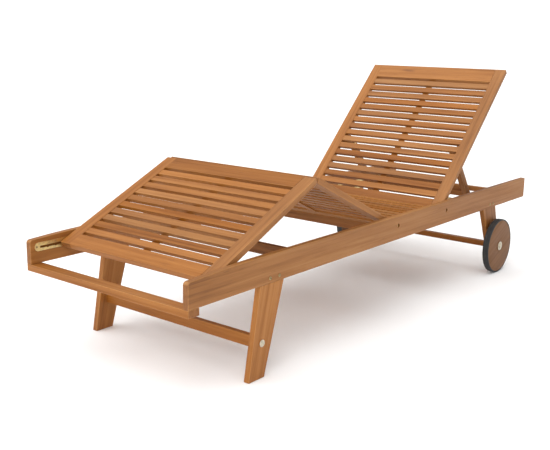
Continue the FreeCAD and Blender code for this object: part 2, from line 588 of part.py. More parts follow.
node("prop_pin_rod", group("prop_pin_rod", [pin]), PROP)
prop_block = board("prop_block_blank", block_x,
                   (f"{PROP_S} - prop_block_long / 2", f"{PROP_S} + prop_block_long / 2"),
                   (f"{SLAT_LOW} - block_gap - prop_block_deep", f"{SLAT_LOW} - block_gap"),
                   grain="y")
prop_block = cut("prop_block_local", prop_block,
                 [rod("prop_pin_dia", (f"{block_x[0]} - 1", f"{block_x[1]} - 3"), PROP_S,
                      "-prop_drop")])
for side, source in (("right", prop_block), ("left", mirror("prop_block_twin", prop_block))):
    node(f"prop_block_{side}", group(f"prop_block_{side}", [source]), BACK)
both("prop_pivot_bolts",
     [rod("prop_pin_dia", (f"{prop_x[0]} - play - 1", f"{block_x[1]} - 3"), PROP_S, "-prop_drop"),
      rod("bolt_head + 1", (f"{prop_x[0]} - play - 4", f"{prop_x[0]} - play"), PROP_S,
          "-prop_drop")], BACK)

# ---------------------------------------------------------------- slotted plates
def slot_hole(y, z, tall):
    """A slot with round ends along Y, through a plate on the rail's inner face."""
    x = (f"{IN} - plate_thick - 1", f"{IN} + 1")
    middle = block(x, y, (f"{z} - {tall} / 2", f"{z} + {tall} / 2"))
    return [middle, rod(tall, x, y[0], z), rod(tall, x, y[1], z)]


plate_x = (f"{IN} - plate_thick", IN)
toe_plate_y = (f"({TOE_FLAT_Y} - 20)", f"({TOE_PIN_Y} + 17)")
toe_plate_z = (plate_low, f"({plate_low} + plate_tall)")
toe_plate = prism("toe_plate_blank", "YZ_Plane",
                  [(y, z) for y, z in ((toe_plate_y[0], toe_plate_z[0]),
                                       (toe_plate_y[1], toe_plate_z[0]),
                                       (toe_plate_y[1], toe_plate_z[1]),
                                       (toe_plate_y[0], toe_plate_z[1]))],
                  plate_x, rounds=[(i, "plate_tall / 2 - 1") for i in range(4)])
toe_hole = slot_hole((TOE_FLAT_Y, TOE_PIN_Y), "pivot_up", PIN_SLOT)
notches = [rod(PIN_SLOT, (f"{IN} - plate_thick - 1", f"{IN} + 1"), f"({TOE_FLAT_Y} + {k})",
               "pivot_up - notch_dip") for k in (23, 50)]
heads = [rod("screw_dia - 1.5", (f"{IN} - plate_thick - 1", f"{IN} + 1"), y, z)
         for y, z in toe_plate_spots]
pair("foot_slide_plate", cut("foot_slide_plate", toe_plate, toe_hole + notches + heads))

prop_plate = board("prop_plate_blank", plate_x, prop_plate_y,
                   ("rail_under + 1", f"{PROP_SLOT_HIGH} + prop_plate_margin"), ease=None)
window = block((f"{IN} - plate_thick - 1", f"{IN} + 1"),
               (f"{PROP_UP_Y} - {PROP_SLOT} / 2 - 2", f"{PROP_FLAT_Y} + {PROP_SLOT} / 2 + 1"),
               (PROP_SLOT_LOW, PROP_SLOT_HIGH))
step = f"(({PROP_FLAT_Y} - {PROP_UP_Y}) / 5)"
notches = [rod(PROP_SLOT, (f"{IN} - plate_thick - 1", f"{IN} + 1"),
               f"({PROP_UP_Y} + {k} * {step})", f"{PROP_SLOT_LOW} + {PROP_SLOT} / 2 - notch_dip")
           for k in range(1, 5)]
heads = [rod("screw_dia - 1.5", (f"{IN} - plate_thick - 1", f"{IN} + 1"), y, z)
         for y, z in prop_plate_spots]
pair("prop_slide_plate", cut("prop_slide_plate", prop_plate, [window, *notches, *heads]))

domes = [rod("screw_head - 4", (f"{IN} - plate_thick - 0.6", f"{IN} - plate_thick"), y, z)
         for y, z in toe_plate_spots + prop_plate_spots]
plate_screw_set = [join(f"plate_screw_{i}", list(parts))
                   for i, parts in enumerate(zip(plate_screws, domes))]

# ---------------------------------------------------------------- frame screws and wheels
leg_screws = []
for i, (y, z) in enumerate(leg_screw_spots):
    leg_screws.append(join(f"leg_screw_{i}", screw(y, z, f"{OUT} - screw_long", OUT)))
long_bolt = join("stretcher_bolt", [
    rod("screw_dia", (f"{IN} - 30", OUT), *stretcher_spot),
    rod("washer_dia", (OUT, f"{OUT} + washer_thick"), *stretcher_spot),
    rod("screw_head", (OUT, f"{OUT} + washer_thick + screw_dome"), *stretcher_spot)])
right = group("frame_screws_right", [*leg_screws, *plate_screw_set, long_bolt])
node("frame_screws", group("frame_screws", [right, mirror("frame_screws_twin", right)]))

wheel_in = f"({OUT} + wheel_off)"
wheel_out = f"({OUT} + wheel_off + wheel_thick)"
disc_dia = "(wheel_dia - 2 * tyre_thick)"
disc = cut("wheel_disc", rod(disc_dia, (wheel_in, wheel_out), AXLE_Y, AXLE_Z),
           [rod("bush_dia", (f"{wheel_in} - 1", f"{wheel_out} + 1"), AXLE_Y, AXLE_Z)])
tyre = cut("tyre", rod("wheel_dia", (wheel_in, wheel_out), AXLE_Y, AXLE_Z),
           [rod(disc_dia, (f"{wheel_in} - 1", f"{wheel_out} + 1"), AXLE_Y, AXLE_Z)])
bush = cut("wheel_bush", rod("bush_dia", (wheel_in, wheel_out), AXLE_Y, AXLE_Z),
           [rod("axle_dia + 2 * running", (f"{wheel_in} - 1", f"{wheel_out} + 1"), AXLE_Y, AXLE_Z)])
for stem, thing in (("wheel_disc", disc), ("tyre", tyre), ("wheel_bush", bush)):
    pair(stem, thing)
spacer = rod("bush_dia", (OUT, f"{wheel_in} - play"), AXLE_Y, AXLE_Z)
washer = rod("hub_washer", (f"{wheel_out} + play", f"{wheel_out} + play + hub_washer_thick"),
             AXLE_Y, AXLE_Z)
rings = [cut(f"hub_ring_{i}", ring, [rod("axle_dia", (OUT, f"{wheel_out} + 9"), AXLE_Y, AXLE_Z)])
         for i, ring in enumerate((spacer, washer))]
nut_in = f"({wheel_out} + play + hub_washer_thick)"
nut = cut("axle_nut", rod("nut_dia", (nut_in, f"{nut_in} + nut_thick"), AXLE_Y, AXLE_Z),
          [rod("axle_dia", (f"{nut_in} - 1", axle_end), AXLE_Y, AXLE_Z)])
right = group("axle_fittings_right", [*rings, nut])
node("axle_fittings", group("axle_fittings", [right, mirror("axle_fittings_twin", right)]))

# ---------------------------------------------------------------- check and write
doc.recompute()
for thing in doc.Objects:
    if "Invalid" in thing.State or "Error" in thing.State:
        raise RuntimeError(f"{thing.Label} did not recompute")
os.makedirs("parts", exist_ok=True)
for label, thing in nodes.items():
    if thing.Shape.isNull() or not thing.Shape.isValid() or not thing.Shape.Solids:
        raise RuntimeError(f"{label} is not a sound solid")
    thing.Shape.exportStep(os.path.join("parts", f"{label}.step"))
print(len(nodes), "nodes written")
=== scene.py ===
# %% [markdown]
# # A reclining sun lounger in oiled hardwood
#
# The lounger's boards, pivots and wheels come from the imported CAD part, in metres, with
# +X to the side, +Y towards the head end and +Z up. This notebook gives each board its
# timber, turns the hardware and the wheels, and sets up a plain studio.
#
# The boards could be modelled again here as bevelled boxes. They are used as they come
# instead: the CAD has their tenons, housings and rounded edges already, and a board that is
# drawn only once can't drift out of place.

import json
import math

import bmesh
import bpy
import numpy as np
from mathutils import Matrix


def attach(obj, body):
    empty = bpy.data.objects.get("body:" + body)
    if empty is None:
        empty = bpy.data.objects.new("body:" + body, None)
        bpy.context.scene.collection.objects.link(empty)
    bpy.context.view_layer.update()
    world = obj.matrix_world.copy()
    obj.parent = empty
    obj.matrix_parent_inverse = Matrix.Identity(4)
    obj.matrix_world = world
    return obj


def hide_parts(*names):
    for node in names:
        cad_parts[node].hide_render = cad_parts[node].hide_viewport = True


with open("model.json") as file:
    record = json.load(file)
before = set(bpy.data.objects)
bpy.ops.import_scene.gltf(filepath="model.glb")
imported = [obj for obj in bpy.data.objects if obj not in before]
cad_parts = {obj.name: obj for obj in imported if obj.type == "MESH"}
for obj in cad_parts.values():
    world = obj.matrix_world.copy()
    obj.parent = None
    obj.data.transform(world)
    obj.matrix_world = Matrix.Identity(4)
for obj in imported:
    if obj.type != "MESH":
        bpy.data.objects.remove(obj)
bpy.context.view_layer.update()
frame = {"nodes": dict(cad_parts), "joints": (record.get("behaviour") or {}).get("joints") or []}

# %% [markdown]
# ## Where things are
#
# Every panel of the lounger is a flat frame turned about the X axis. A board on it has its
# grain either across the lounger or along the panel, so the timber needs the panel's turn.
# The turns could be typed in, but the joints hold them already: the backrest and the leg rest
# fold down flat at their lower limits, so each limit is the panel's turn. The prop lies along
# the backrest at its upper limit, so its turn is the backrest's less that limit. The two
# pairs of legs don't move, so their splay is given here in degrees from upright.

# %% Turns and pivots
JOINTS = {joint["name"]: joint for joint in frame["joints"]}
BACK_TURN = -JOINTS["back_recline"]["range_deg"][0]
LEG_TURN = -JOINTS["thigh_lift"]["range_deg"][0]
PROP_TURN = BACK_TURN - JOINTS["prop_fold"]["range_deg"][1]
FRONT_SPLAY = 13.4
REAR_SPLAY = 21.8
FRONT_LEG_TURN = 90.0 - FRONT_SPLAY
REAR_LEG_TURN = 90.0 + REAR_SPLAY
BACK_PIVOT = JOINTS["back_recline"]["pos_m"]
PROP_PIVOT = JOINTS["prop_fold"]["pos_m"]
THIGH_PIVOT = JOINTS["thigh_lift"]["pos_m"]
WHEEL_PIVOT = JOINTS["wheel_right_spin"]["pos_m"]
print("turns", BACK_TURN, LEG_TURN, PROP_TURN, "back pivot", BACK_PIVOT, "axle", WHEEL_PIVOT)

# %% [markdown]
# ## Measuring the boards
#
# The hardware sits against the boards: a screw head on a rail's face, a bolt through a stile.
# How far out it sits could be copied from a drawing. Here it is measured on the CAD pieces,
# so the hardware stays on its board if the lounger is made wider or narrower.

# %% Measure a node
def points_of(node):
    """The corners of a CAD node's mesh, as rows of x, y, z."""
    mesh = frame["nodes"][node].data
    points = np.zeros(len(mesh.vertices) * 3)
    mesh.vertices.foreach_get("co", points)
    return points.reshape(-1, 3)


def box_of(node):
    """The low and the high corner of a CAD node's box, to a hundredth of a millimetre."""
    points = points_of(node)
    return points.min(0).round(5), points.max(0).round(5)


RAIL_FACE = box_of("side_rail_right")[1][0]
PLATE_FACE = box_of("foot_slide_plate_right")[0][0]
STILE_FACE = box_of("back_stile_right")[1][0]
print("rail face", RAIL_FACE, "plate face", PLATE_FACE, "stile face", STILE_FACE)

# %% [markdown]
# ## Node helpers
#
# A finish is a small chain of texture nodes. It could be drawn in the node editor, but a
# script can be read and repeated. These helpers add one node, set its sockets and join it up,
# so that each finish below reads as a short recipe.

# %% Start a material and add a node
def start_material(name):
    """A new material with its Principled shader."""
    material = bpy.data.materials.new(name)
    material.use_nodes = True
    tree = material.node_tree
    return material, tree, tree.nodes["Principled BSDF"]


def add(tree, kind, links=None, **settings):
    """Add a node. settings are its properties; links maps an input to a value or a socket."""
    node = tree.nodes.new(kind)
    for key, setting in settings.items():
        setattr(node, key, setting)
    for key, source in (links or {}).items():
        socket = node.inputs[key]
        if isinstance(source, bpy.types.NodeSocket):
            tree.links.new(source, socket)
        else:
            socket.default_value = source
    return node

# %% [markdown]
# ## Sums and stretches
#
# Patterns are weighed, added and stretched before they colour anything. Each of these steps
# could be written out as nodes every time, but a recipe made of small verbs is shorter and
# is harder to get wrong.

# %% Numbers
def calc(tree, operation, a, b=0.0):
    """The result of one sum on a number."""
    return add(tree, "ShaderNodeMath", {0: a, 1: b}, operation=operation).outputs[0]


def spread(tree, source, low, high, to_low=0.0, to_high=1.0):
    """source stretched from low..high onto to_low..to_high, and held there."""
    node = add(tree, "ShaderNodeMapRange", {0: source, 1: low, 2: high, 3: to_low, 4: to_high})
    return node.outputs[0]


def add_up(tree, *shares):
    """The sum of patterns, each given as (pattern, share) and multiplied by its share."""
    result = 0.0
    for pattern, share in shares:
        result = calc(tree, "ADD", calc(tree, "MULTIPLY", pattern, share), result)
    return result

# %% [markdown]
# ## Clouds and colours
#
# Nothing in timber or plating repeats, so every pattern starts as a cloud of noise. An image
# could be wrapped on instead, but it would need unwrapped boards and would repeat. A cloud
# stretched along one axis turns into streaks, and a ramp or a blend gives it its colours.

# %% Patterns and blends
def noise(tree, vector, scale, detail=4.0, rough=0.55, distort=0.0):
    """A cloudy pattern whose scale, in repeats per metre, can differ along the three axes."""
    stretched = add(tree, "ShaderNodeMapping", {"Vector": vector, "Scale": scale})
    node = add(tree, "ShaderNodeTexNoise",
               {"Vector": stretched.outputs[0], "Scale": 1.0, "Detail": detail,
                "Roughness": rough, "Distortion": distort})
    return node.outputs["Fac"]


def blend_colours(tree, factor, a, b):
    """Two colours mixed by a factor: all a at 0, all b at 1."""
    node = add(tree, "ShaderNodeMix", {0: factor, 6: a, 7: b}, data_type="RGBA")
    return node.outputs[2]


def ramp(tree, factor, stops):
    """A colour ramp from (position, colour) stops."""
    node = add(tree, "ShaderNodeValToRGB", {0: factor})
    elements = node.color_ramp.elements
    while len(elements) < len(stops):
        elements.new(0.5)
    for element, (position, colour) in zip(elements, stops):
        element.position = position
        element.color = (*colour, 1.0)
    return node.outputs[0]


def bump(tree, shader, height, strength, distance):
    """Relief on the shader: distance is the height, in metres, that a full step stands for."""
    node = add(tree, "ShaderNodeBump",
               {"Height": height, "Strength": strength, "Distance": distance})
    tree.links.new(node.outputs[0], shader.inputs["Normal"])

# %% [markdown]
# ## The timber's axes
#
# A board's figure runs along the board, whichever way its panel is turned. Each board could
# have its own unwrapped map for this. Turning the texture's vector back by the panel's angle,
# $p' = R_x(-t)\,p$, does the same for a whole panel, with nothing to unwrap.
#
# Slats are cut from many boards, so each has a number of its own, which picks its tone and
# moves its figure along. In a row of slats the number comes from the slat's count,
# $\lfloor (y - y_0) / \text{pitch} \rfloor$, and for a single board from the object.

# %% Board axes and board number
def board_axes(tree, turn):
    """Place and facing in the panel's own axes, turned back about X by the panel's angle.

    The facing is given as the sizes of its three parts, without their signs.
    """
    here = add(tree, "ShaderNodeTexCoord")
    back = (math.radians(-turn), 0.0, 0.0)
    place = add(tree, "ShaderNodeMapping", {"Vector": here.outputs["Object"], "Rotation": back})
    face = add(tree, "ShaderNodeMapping", {"Vector": here.outputs["Normal"], "Rotation": back},
               vector_type="VECTOR")
    places = add(tree, "ShaderNodeSeparateXYZ", {0: place.outputs[0]}).outputs
    faces = add(tree, "ShaderNodeSeparateXYZ", {0: face.outputs[0]}).outputs
    return list(places), [calc(tree, "ABSOLUTE", part) for part in faces]


def board_number(tree, y, row):
    """A number from 0 to 1 that is the same all over one board.

    row is None for a single board, or the (first edge, pitch) of a row of slats.
    """
    if row is None:
        return add(tree, "ShaderNodeObjectInfo").outputs["Random"]
    first_edge, pitch = row
    count = calc(tree, "DIVIDE", calc(tree, "SUBTRACT", y, first_edge), pitch)
    whole = calc(tree, "FLOOR", count)
    return add(tree, "ShaderNodeTexWhiteNoise", {"W": whole}, noise_dimensions="1D").outputs[0]

# %% [markdown]
# ## The timber's face
#
# The boards are a dense orange-brown hardwood, planed and oiled. The figure is long: soft
# light and dark streaks a few millimetres wide that run for decimetres along the grain, fine
# fibres and short dark pores inside them, a few knots, and a slow change of tone.
#
# One rich noise could stand for all of that, but then none of it could be tuned alone. Each
# feature has a cloud of its own here, stretched along the grain. Three of them are added up
# and coloured by a ramp, and pores and knots are laid over the result.

# %% Face colours
TIMBER_STOPS = [(0.32, (0.130, 0.038, 0.006)), (0.46, (0.255, 0.088, 0.013)),
                (0.58, (0.325, 0.121, 0.021)), (0.76, (0.400, 0.172, 0.040))]
PORE = (0.090, 0.028, 0.008, 1.0)
KNOT = (0.130, 0.040, 0.010, 1.0)
# Each pattern: repeats per metre along, across and through the board; detail; roughness;
# distortion.
WANDER = ((1.6, 7.0, 7.0), 2.0)
STREAK = ((2.2, 84.0, 84.0), 5.0, 0.60, 0.2)
FIBRE = ((14.0, 520.0, 520.0), 3.0, 0.6)
PORES = ((22.0, 380.0, 380.0), 2.0, 0.5)
KNOTS = ((4.6, 30.0, 30.0), 1.0, 0.4, 0.6)


def face_colour(tree, figure, streak, fibre):
    """The colour of planed timber: streaks, fibres and a slow wander, then pores and knots."""
    wander = noise(tree, figure, *WANDER)
    mix = add_up(tree, (fibre, 0.16), (wander, 0.38), (streak, 0.50))
    colour = ramp(tree, mix, TIMBER_STOPS)
    pores = spread(tree, noise(tree, figure, *PORES), 0.63, 0.72, 0.0, 0.32)
    knots = spread(tree, noise(tree, figure, *KNOTS), 0.74, 0.84, 0.0, 0.6)
    return blend_colours(tree, knots, blend_colours(tree, pores, colour, PORE), KNOT)


def board_tone(tree, colour, board, shift, painted_shade_tone):
    """The colour moved a little in hue, strength and lightness, by the board's own number.

    The last argument scales the lightness: below 1 it is painted shade.
    """
    return add(tree, "ShaderNodeHueSaturation",
               {"Hue": spread(tree, board, 0.0, 1.0, 0.497, 0.503),
                "Saturation": spread(tree, board, 0.0, 1.0, 1.05, 0.95),
                "Value": spread(tree, calc(tree, "FRACT", shift), 0.0, 1.0, 0.84 * painted_shade_tone,
                                1.12 * painted_shade_tone),
                "Color": colour}).outputs[0]


print("timber face:", len(TIMBER_STOPS), "colours from dark to pale")

# %% [markdown]
# ## The timber's ends and edges
#
# Cut across, the same fibres show as dark end grain. A softened edge is painted paler than the
# face beside it: partly wear, and partly a painted highlight where light catches the rounded
# arris. Both could be painted on by hand. Here they follow from which way the surface faces:
# end grain faces along the board, and a rounded edge faces none of the board's three axes
# squarely.

# %% End grain, and worn edges with a painted highlight
END_GRAIN = (0.170, 0.062, 0.016, 1.0)
# The paler edge colour is partly wear and partly a painted highlight on the rounded arris.
WORN_EDGE_AND_HIGHLIGHT = (0.50, 0.27, 0.105, 1.0)
RINGS = ((3.0, 210.0, 90.0), 3.0)


def end_colour(tree, colour, figure, end):
    """End grain laid over the colour where the surface faces along the board."""
    rings = spread(tree, noise(tree, figure, *RINGS), 0.35, 0.65, 0.35, 0.75)
    cut = spread(tree, end, 0.80, 0.97)
    return blend_colours(tree, cut, colour, blend_colours(tree, rings, colour, END_GRAIN))


def edge_colour(tree, colour, facing, streak):
    """Paler timber, for wear and as a painted highlight, where the largest part of the facing is
    below 1.
    """
    nx, ny, nz = facing
    square = calc(tree, "MAXIMUM", nx, calc(tree, "MAXIMUM", ny, nz))
    # Rounded edges take the paler colour: partly wear, partly a painted highlight.
    wear_and_highlight = calc(tree, "MULTIPLY", spread(tree, square, 0.995, 0.90, 0.0, 0.38),
                spread(tree, streak, 0.35, 0.6, 0.5, 1.0))
    return blend_colours(tree, wear_and_highlight, colour, WORN_EDGE_AND_HIGHLIGHT)


# The edge colour printed here is partly wear and partly a painted highlight.
print("end grain", END_GRAIN[:3], "worn edge", WORN_EDGE_AND_HIGHLIGHT[:3])

# %% [markdown]
# ## The timber material
#
# Oil leaves planed hardwood with a low sheen, duller in the dark streaks, and the fibres stand
# a little proud. One finish could serve the whole lounger if it could tell which way each
# board runs. It can't, so there is one finish for each panel and grain direction, all from
# this recipe.

# %% The timber material
FIGURE_SHIFT = 41.0
OIL_SHEEN = 0.30
RELIEF_STRENGTH = 0.22
RELIEF_HEIGHT = 0.0007


def timber(name, grain, turn, row=None, painted_shade_tone=1.0):
    """Oiled hardwood with its grain along "x" or along "y" of a panel turned about X.

    row is (first edge, pitch) in metres along the panel for a node that holds a row of
    slats: each slat then has a tone and figure of its own. The last argument, below 1,
    darkens the whole timber as painted shade, for boards that stand in shade.
    """
    material, tree, shader = start_material(name)
    (px, py, pz), facing = board_axes(tree, turn)
    board = board_number(tree, py, row)
    shift = calc(tree, "MULTIPLY", board, FIGURE_SHIFT)
    along, across, end = (px, py, facing[0]) if grain == "x" else (py, px, facing[1])
    figure = add(tree, "ShaderNodeCombineXYZ",
                 {0: calc(tree, "ADD", along, shift), 1: calc(tree, "ADD", across, shift),
                  2: pz}).outputs[0]
    streak = noise(tree, figure, *STREAK)
    fibre = noise(tree, figure, *FIBRE)
    colour = face_colour(tree, figure, streak, fibre)
    colour = board_tone(tree, colour, board, shift, painted_shade_tone)
    colour = end_colour(tree, colour, figure, end)
    # Paler edges: partly wear, partly a painted highlight.
    colour = edge_colour(tree, colour, facing, streak)
    tree.links.new(colour, shader.inputs["Base Color"])
    tree.links.new(spread(tree, streak, 0.3, 0.7, 0.60, 0.44), shader.inputs["Roughness"])
    shader.inputs["Specular IOR Level"].default_value = OIL_SHEEN
    relief = add_up(tree, (streak, 0.5), (fibre, 0.6))
    bump(tree, shader, relief, RELIEF_STRENGTH, RELIEF_HEIGHT)
    return material


print("timber recipe ready, sheen", OIL_SHEEN)

# %% [markdown]
# ## Zinc plate
#
# Screws, pins, hinges and the slotted plates are steel with a yellowish zinc plating: a
# mottled pale gold that is rougher where fingers and tools have dulled it. A flat metal
# colour would look newer than the boards around it, so two colours are mottled together and
# faint scratches rough it up. The bolts outside are the palest. The screws are the darkest:
# their colour is painted shade, standing in for the shade in their sockets.

# %% Zinc plate
MOTTLE = ((140.0, 140.0, 140.0), 4.0)
SCRATCH = ((900.0, 60.0, 900.0), 3.0)


def zinc_plate(name, tint, dull):
    """Zinc-plated steel; tint and dull are the two colours that it mottles between."""
    material, tree, shader = start_material(name)
    place = add(tree, "ShaderNodeTexCoord").outputs["Object"]
    mottle = noise(tree, place, *MOTTLE)
    scratch = noise(tree, place, *SCRATCH)
    colour = blend_colours(tree, spread(tree, mottle, 0.35, 0.65), (*tint, 1.0), (*dull, 1.0))
    tree.links.new(colour, shader.inputs["Base Color"])
    tree.links.new(spread(tree, calc(tree, "ADD", mottle, scratch), 0.7, 1.3, 0.26, 0.48),
                   shader.inputs["Roughness"])
    shader.inputs["Metallic"].default_value = 1.0
    bump(tree, shader, scratch, 0.12, 0.0002)
    return material


ZINC = zinc_plate("zinc_plate", (0.80, 0.60, 0.24), (0.60, 0.47, 0.24))
ZINC_BRIGHT = zinc_plate("zinc_plate_bright", (0.62, 0.56, 0.44), (0.44, 0.40, 0.32))
# Painted shade: this plating is darkened to stand in for the shade in the screws' sockets.
ZINC_PAINTED_SHADE = zinc_plate("zinc_plate_dull", (0.46, 0.34, 0.16), (0.24, 0.18, 0.09))
print("plating:", ZINC.name, ZINC_BRIGHT.name, ZINC_PAINTED_SHADE.name)

# %% [markdown]
# ## Rubber
#
# The tyres are plain black rubber. Pure black would show no shape at all, so a dusty bloom
# lightens it in patches, and fine pits break up its highlights.

# %% Rubber
RUBBER_BLACK = (0.012, 0.012, 0.013, 1.0)
RUBBER_DUST = (0.045, 0.042, 0.038, 1.0)
DUST = ((34.0, 34.0, 34.0), 5.0, 0.6)
PITS = ((700.0, 700.0, 700.0), 2.0)


def tyre_rubber(name):
    """Black rubber with a dusty bloom in patches."""
    material, tree, shader = start_material(name)
    place = add(tree, "ShaderNodeTexCoord").outputs["Object"]
    dust = noise(tree, place, *DUST)
    colour = blend_colours(tree, spread(tree, dust, 0.42, 0.75), RUBBER_BLACK, RUBBER_DUST)
    tree.links.new(colour, shader.inputs["Base Color"])
    tree.links.new(spread(tree, dust, 0.3, 0.7, 0.55, 0.8), shader.inputs["Roughness"])
    bump(tree, shader, noise(tree, place, *PITS), 0.3, 0.0003)
    return material


RUBBER = tyre_rubber("tyre_rubber")
print("rubber:", RUBBER.name)

# %% [markdown]
# ## Rows of slats
#
# The seat, the backrest and the two panels of the leg rest are each covered by a row of
# slats, and a row is one CAD node. It could be split into one object for each slat, but the
# timber can tell them apart from where the row starts and its pitch. Both are measured along
# the panel, where a point's place is $y' = y\cos t + z\sin t$.

# %% Rows of slats
SLAT_WIDE = 0.0227
ROWS = {
    "seat_slats": (0.0, 9),
    "back_slats": (BACK_TURN, 16),
    "thigh_slats": (-LEG_TURN, 10),
    "calf_slats": (LEG_TURN, 10),
}


def row_of(node, turn, count):
    """The first edge and the pitch of a row of slats along its panel.

    The pitch is the row's length less one slat, shared by the steps between slats, and the
    first edge is moved back by half a gap, so that every boundary falls in a gap.
    """
    points = points_of(node)
    t = math.radians(turn)
    y = points[:, 1] * math.cos(t) + points[:, 2] * math.sin(t)
    pitch = (y.max() - y.min() - SLAT_WIDE) / (count - 1)
    return float(y.min() - (pitch - SLAT_WIDE) / 2), float(pitch)


slat_timber = {}
for node, (turn, count) in ROWS.items():
    row = row_of(node, turn, count)
    slat_timber[node] = timber(f"timber_{node}", "x", turn, row)
    print(node, "first edge", round(row[0], 4), "pitch", round(row[1], 4))

# %% [markdown]
# ## Timber for each board
#
# Every other board is a node of its own. A maker sorts boards by the way they lie, and so
# does this table: each kind is a panel and a grain direction, with the boards that share it.
# A finish could be made for each board instead, but the tone already differs from board to
# board within one kind.

# %% Boards and their grain
KINDS = {
    "rails": ("y", 0.0, ["side_rail_left", "side_rail_right", "seat_cleat_left",
                         "seat_cleat_right", "seat_batten"]),
    "bars": ("x", 0.0, ["foot_bar", "head_rail", "seat_beam_front", "seat_beam_rear",
                        "front_stretcher", "axle_beam", "knee_beam"]),
    "front_legs": ("y", FRONT_LEG_TURN, ["front_leg_left", "front_leg_right"]),
    "rear_legs": ("y", REAR_LEG_TURN, ["rear_leg_left", "rear_leg_right"]),
    "back_long": ("y", BACK_TURN, ["back_stile_left", "back_stile_right", "back_batten",
                                   "prop_block_left", "prop_block_right"]),
    "back_cross": ("x", BACK_TURN, ["back_top_rail", "back_bottom_rail"]),
    "thigh_long": ("y", -LEG_TURN, ["thigh_stile_left", "thigh_stile_right", "thigh_batten"]),
    "thigh_cross": ("x", -LEG_TURN, ["thigh_knee_rail", "thigh_seat_rail"]),
    "calf_long": ("y", LEG_TURN, ["calf_stile_left", "calf_stile_right", "calf_batten"]),
    "calf_cross": ("x", LEG_TURN, ["calf_knee_rail", "calf_foot_rail"]),
    "prop_long": ("y", PROP_TURN, ["prop_leg_left", "prop_leg_right"]),
    "prop_cross": ("x", PROP_TURN, ["prop_crossbar"]),
}


def finish_node(node, material):
    """Give a CAD node its material."""
    piece = frame["nodes"][node]
    piece.data.materials.clear()
    piece.data.materials.append(material)


for kind, (grain, turn, boards) in KINDS.items():
    kind_timber = timber(f"timber_{kind}", grain, turn)
    for board in boards:
        finish_node(board, kind_timber)
for node, material in slat_timber.items():
    finish_node(node, material)
print("boards finished:", sum(len(boards) for *_, boards in KINDS.values()) + len(ROWS))

# %% [markdown]
# ## Plates, pins and hinges
#
# The slotted plates, hinges, axle, pins and bushes are flat or plainly round, and the CAD
# draws them well enough. They could be drawn again with finer edges, but they are small and
# mostly in shadow, so they are only plated.

# %% Plated nodes
PLATED = ["foot_slide_plate_left", "foot_slide_plate_right", "prop_slide_plate_left",
          "prop_slide_plate_right", "thigh_hinge_leaves", "calf_hinge_leaves", "axle_rod",
          "calf_foot_pins", "prop_pin_rod", "wheel_bush_left", "wheel_bush_right"]
for node in PLATED:
    finish_node(node, ZINC)
print("nodes plated:", len(PLATED))

# %% [markdown]
# ## Turned pieces
#
# Wheels, nuts, washers and screws are turned on a lathe. In Blender they could be spun with a
# Screw modifier, but working the surface out gives every ring of points exactly where it is
# wanted. A profile is swept round the X axis: it gives the radius $r_i$ at the place $x_i$,
# and the surface is
# $$P(i, \theta) = (x_i,\; c_y + r_i\cos\theta,\; c_z + r_i\sin\theta).$$
# A profile that starts and ends at $r = 0$ closes on itself; one whose last point meets its
# first makes a ring.

# %% Sweep a profile
def turned(profile, centre, side, steps):
    """A surface of revolution about a line along X through centre, as vertices and faces.

    Point (x, r) of the profile becomes (cx + side x, cy + r cos theta, cz + r sin theta).
    side is 1, or -1 for a piece that faces the other way along X.
    """
    profile = np.asarray(profile, float)
    theta = np.arange(steps) * 2 * np.pi / steps
    x = centre[0] + side * profile[:, 0][:, None] + 0 * theta
    y = centre[1] + profile[:, 1][:, None] * np.cos(theta)
    z = centre[2] + profile[:, 1][:, None] * np.sin(theta)
    points = np.stack([x, y, z], -1).reshape(-1, 3)
    rows = np.arange(len(profile) - 1)[:, None] * steps
    a = (rows + np.arange(steps)).reshape(-1)
    b = (rows + (np.arange(steps) + 1) % steps).reshape(-1)
    faces = np.stack([a, b, b + steps, a + steps], -1)
    if side < 0:
        faces = faces[:, ::-1]
    return points, faces


def rounded(corners, radius, steps=4):
    """A profile with its inner corners rounded.

    Near corner C the line is (1 - k)^2 U + 2 k (1 - k) C + k^2 V for k from 0 to 1. U and V
    are a radius away from C on its two sides, or nearly half a side where a side is short.
    """
    corners = np.asarray(corners, float)
    k = np.linspace(0.0, 1.0, steps + 1)[:, None]
    points = [corners[:1]]
    for before, corner, after in zip(corners, corners[1:], corners[2:]):
        to_before, to_after = before - corner, after - corner
        long_before, long_after = np.linalg.norm(to_before), np.linalg.norm(to_after)
        reach = min(radius, 0.45 * long_before, 0.45 * long_after)
        u = corner + to_before / long_before * reach
        v = corner + to_after / long_after * reach
        points.append((1 - k) ** 2 * u + 2 * k * (1 - k) * corner + k ** 2 * v)
    points.append(corners[-1:])
    return np.vstack(points)

# %% [markdown]
# ## From surfaces to a piece
#
# A sweep leaves a seam where the last ring meets the first, and a bunch of points at each
# pole. They would shade badly and print badly, so they are welded, every face is turned
# outward, and only real corners are kept sharp. An Edge Split modifier could sharpen them
# too, but it would cut the surface open again. Parts that share a node on the part, such as
# a set of screws, are joined into one piece.

# %% Join, weld and finish
WELD_WITHIN = 1e-6
SHARP_ABOVE = math.radians(38)


def close_seams(mesh):
    """Weld the ends of each profile, turn faces outward, and sharpen the real corners."""
    bm = bmesh.new()
    bm.from_mesh(mesh)
    bmesh.ops.remove_doubles(bm, verts=bm.verts, dist=WELD_WITHIN)
    bmesh.ops.recalc_face_normals(bm, faces=bm.faces)
    for face in bm.faces:
        face.smooth = True
    for edge in bm.edges:
        if len(edge.link_faces) == 2 and edge.calc_face_angle() > SHARP_ABOVE:
            edge.smooth = False
    bm.to_mesh(mesh)
    bm.free()


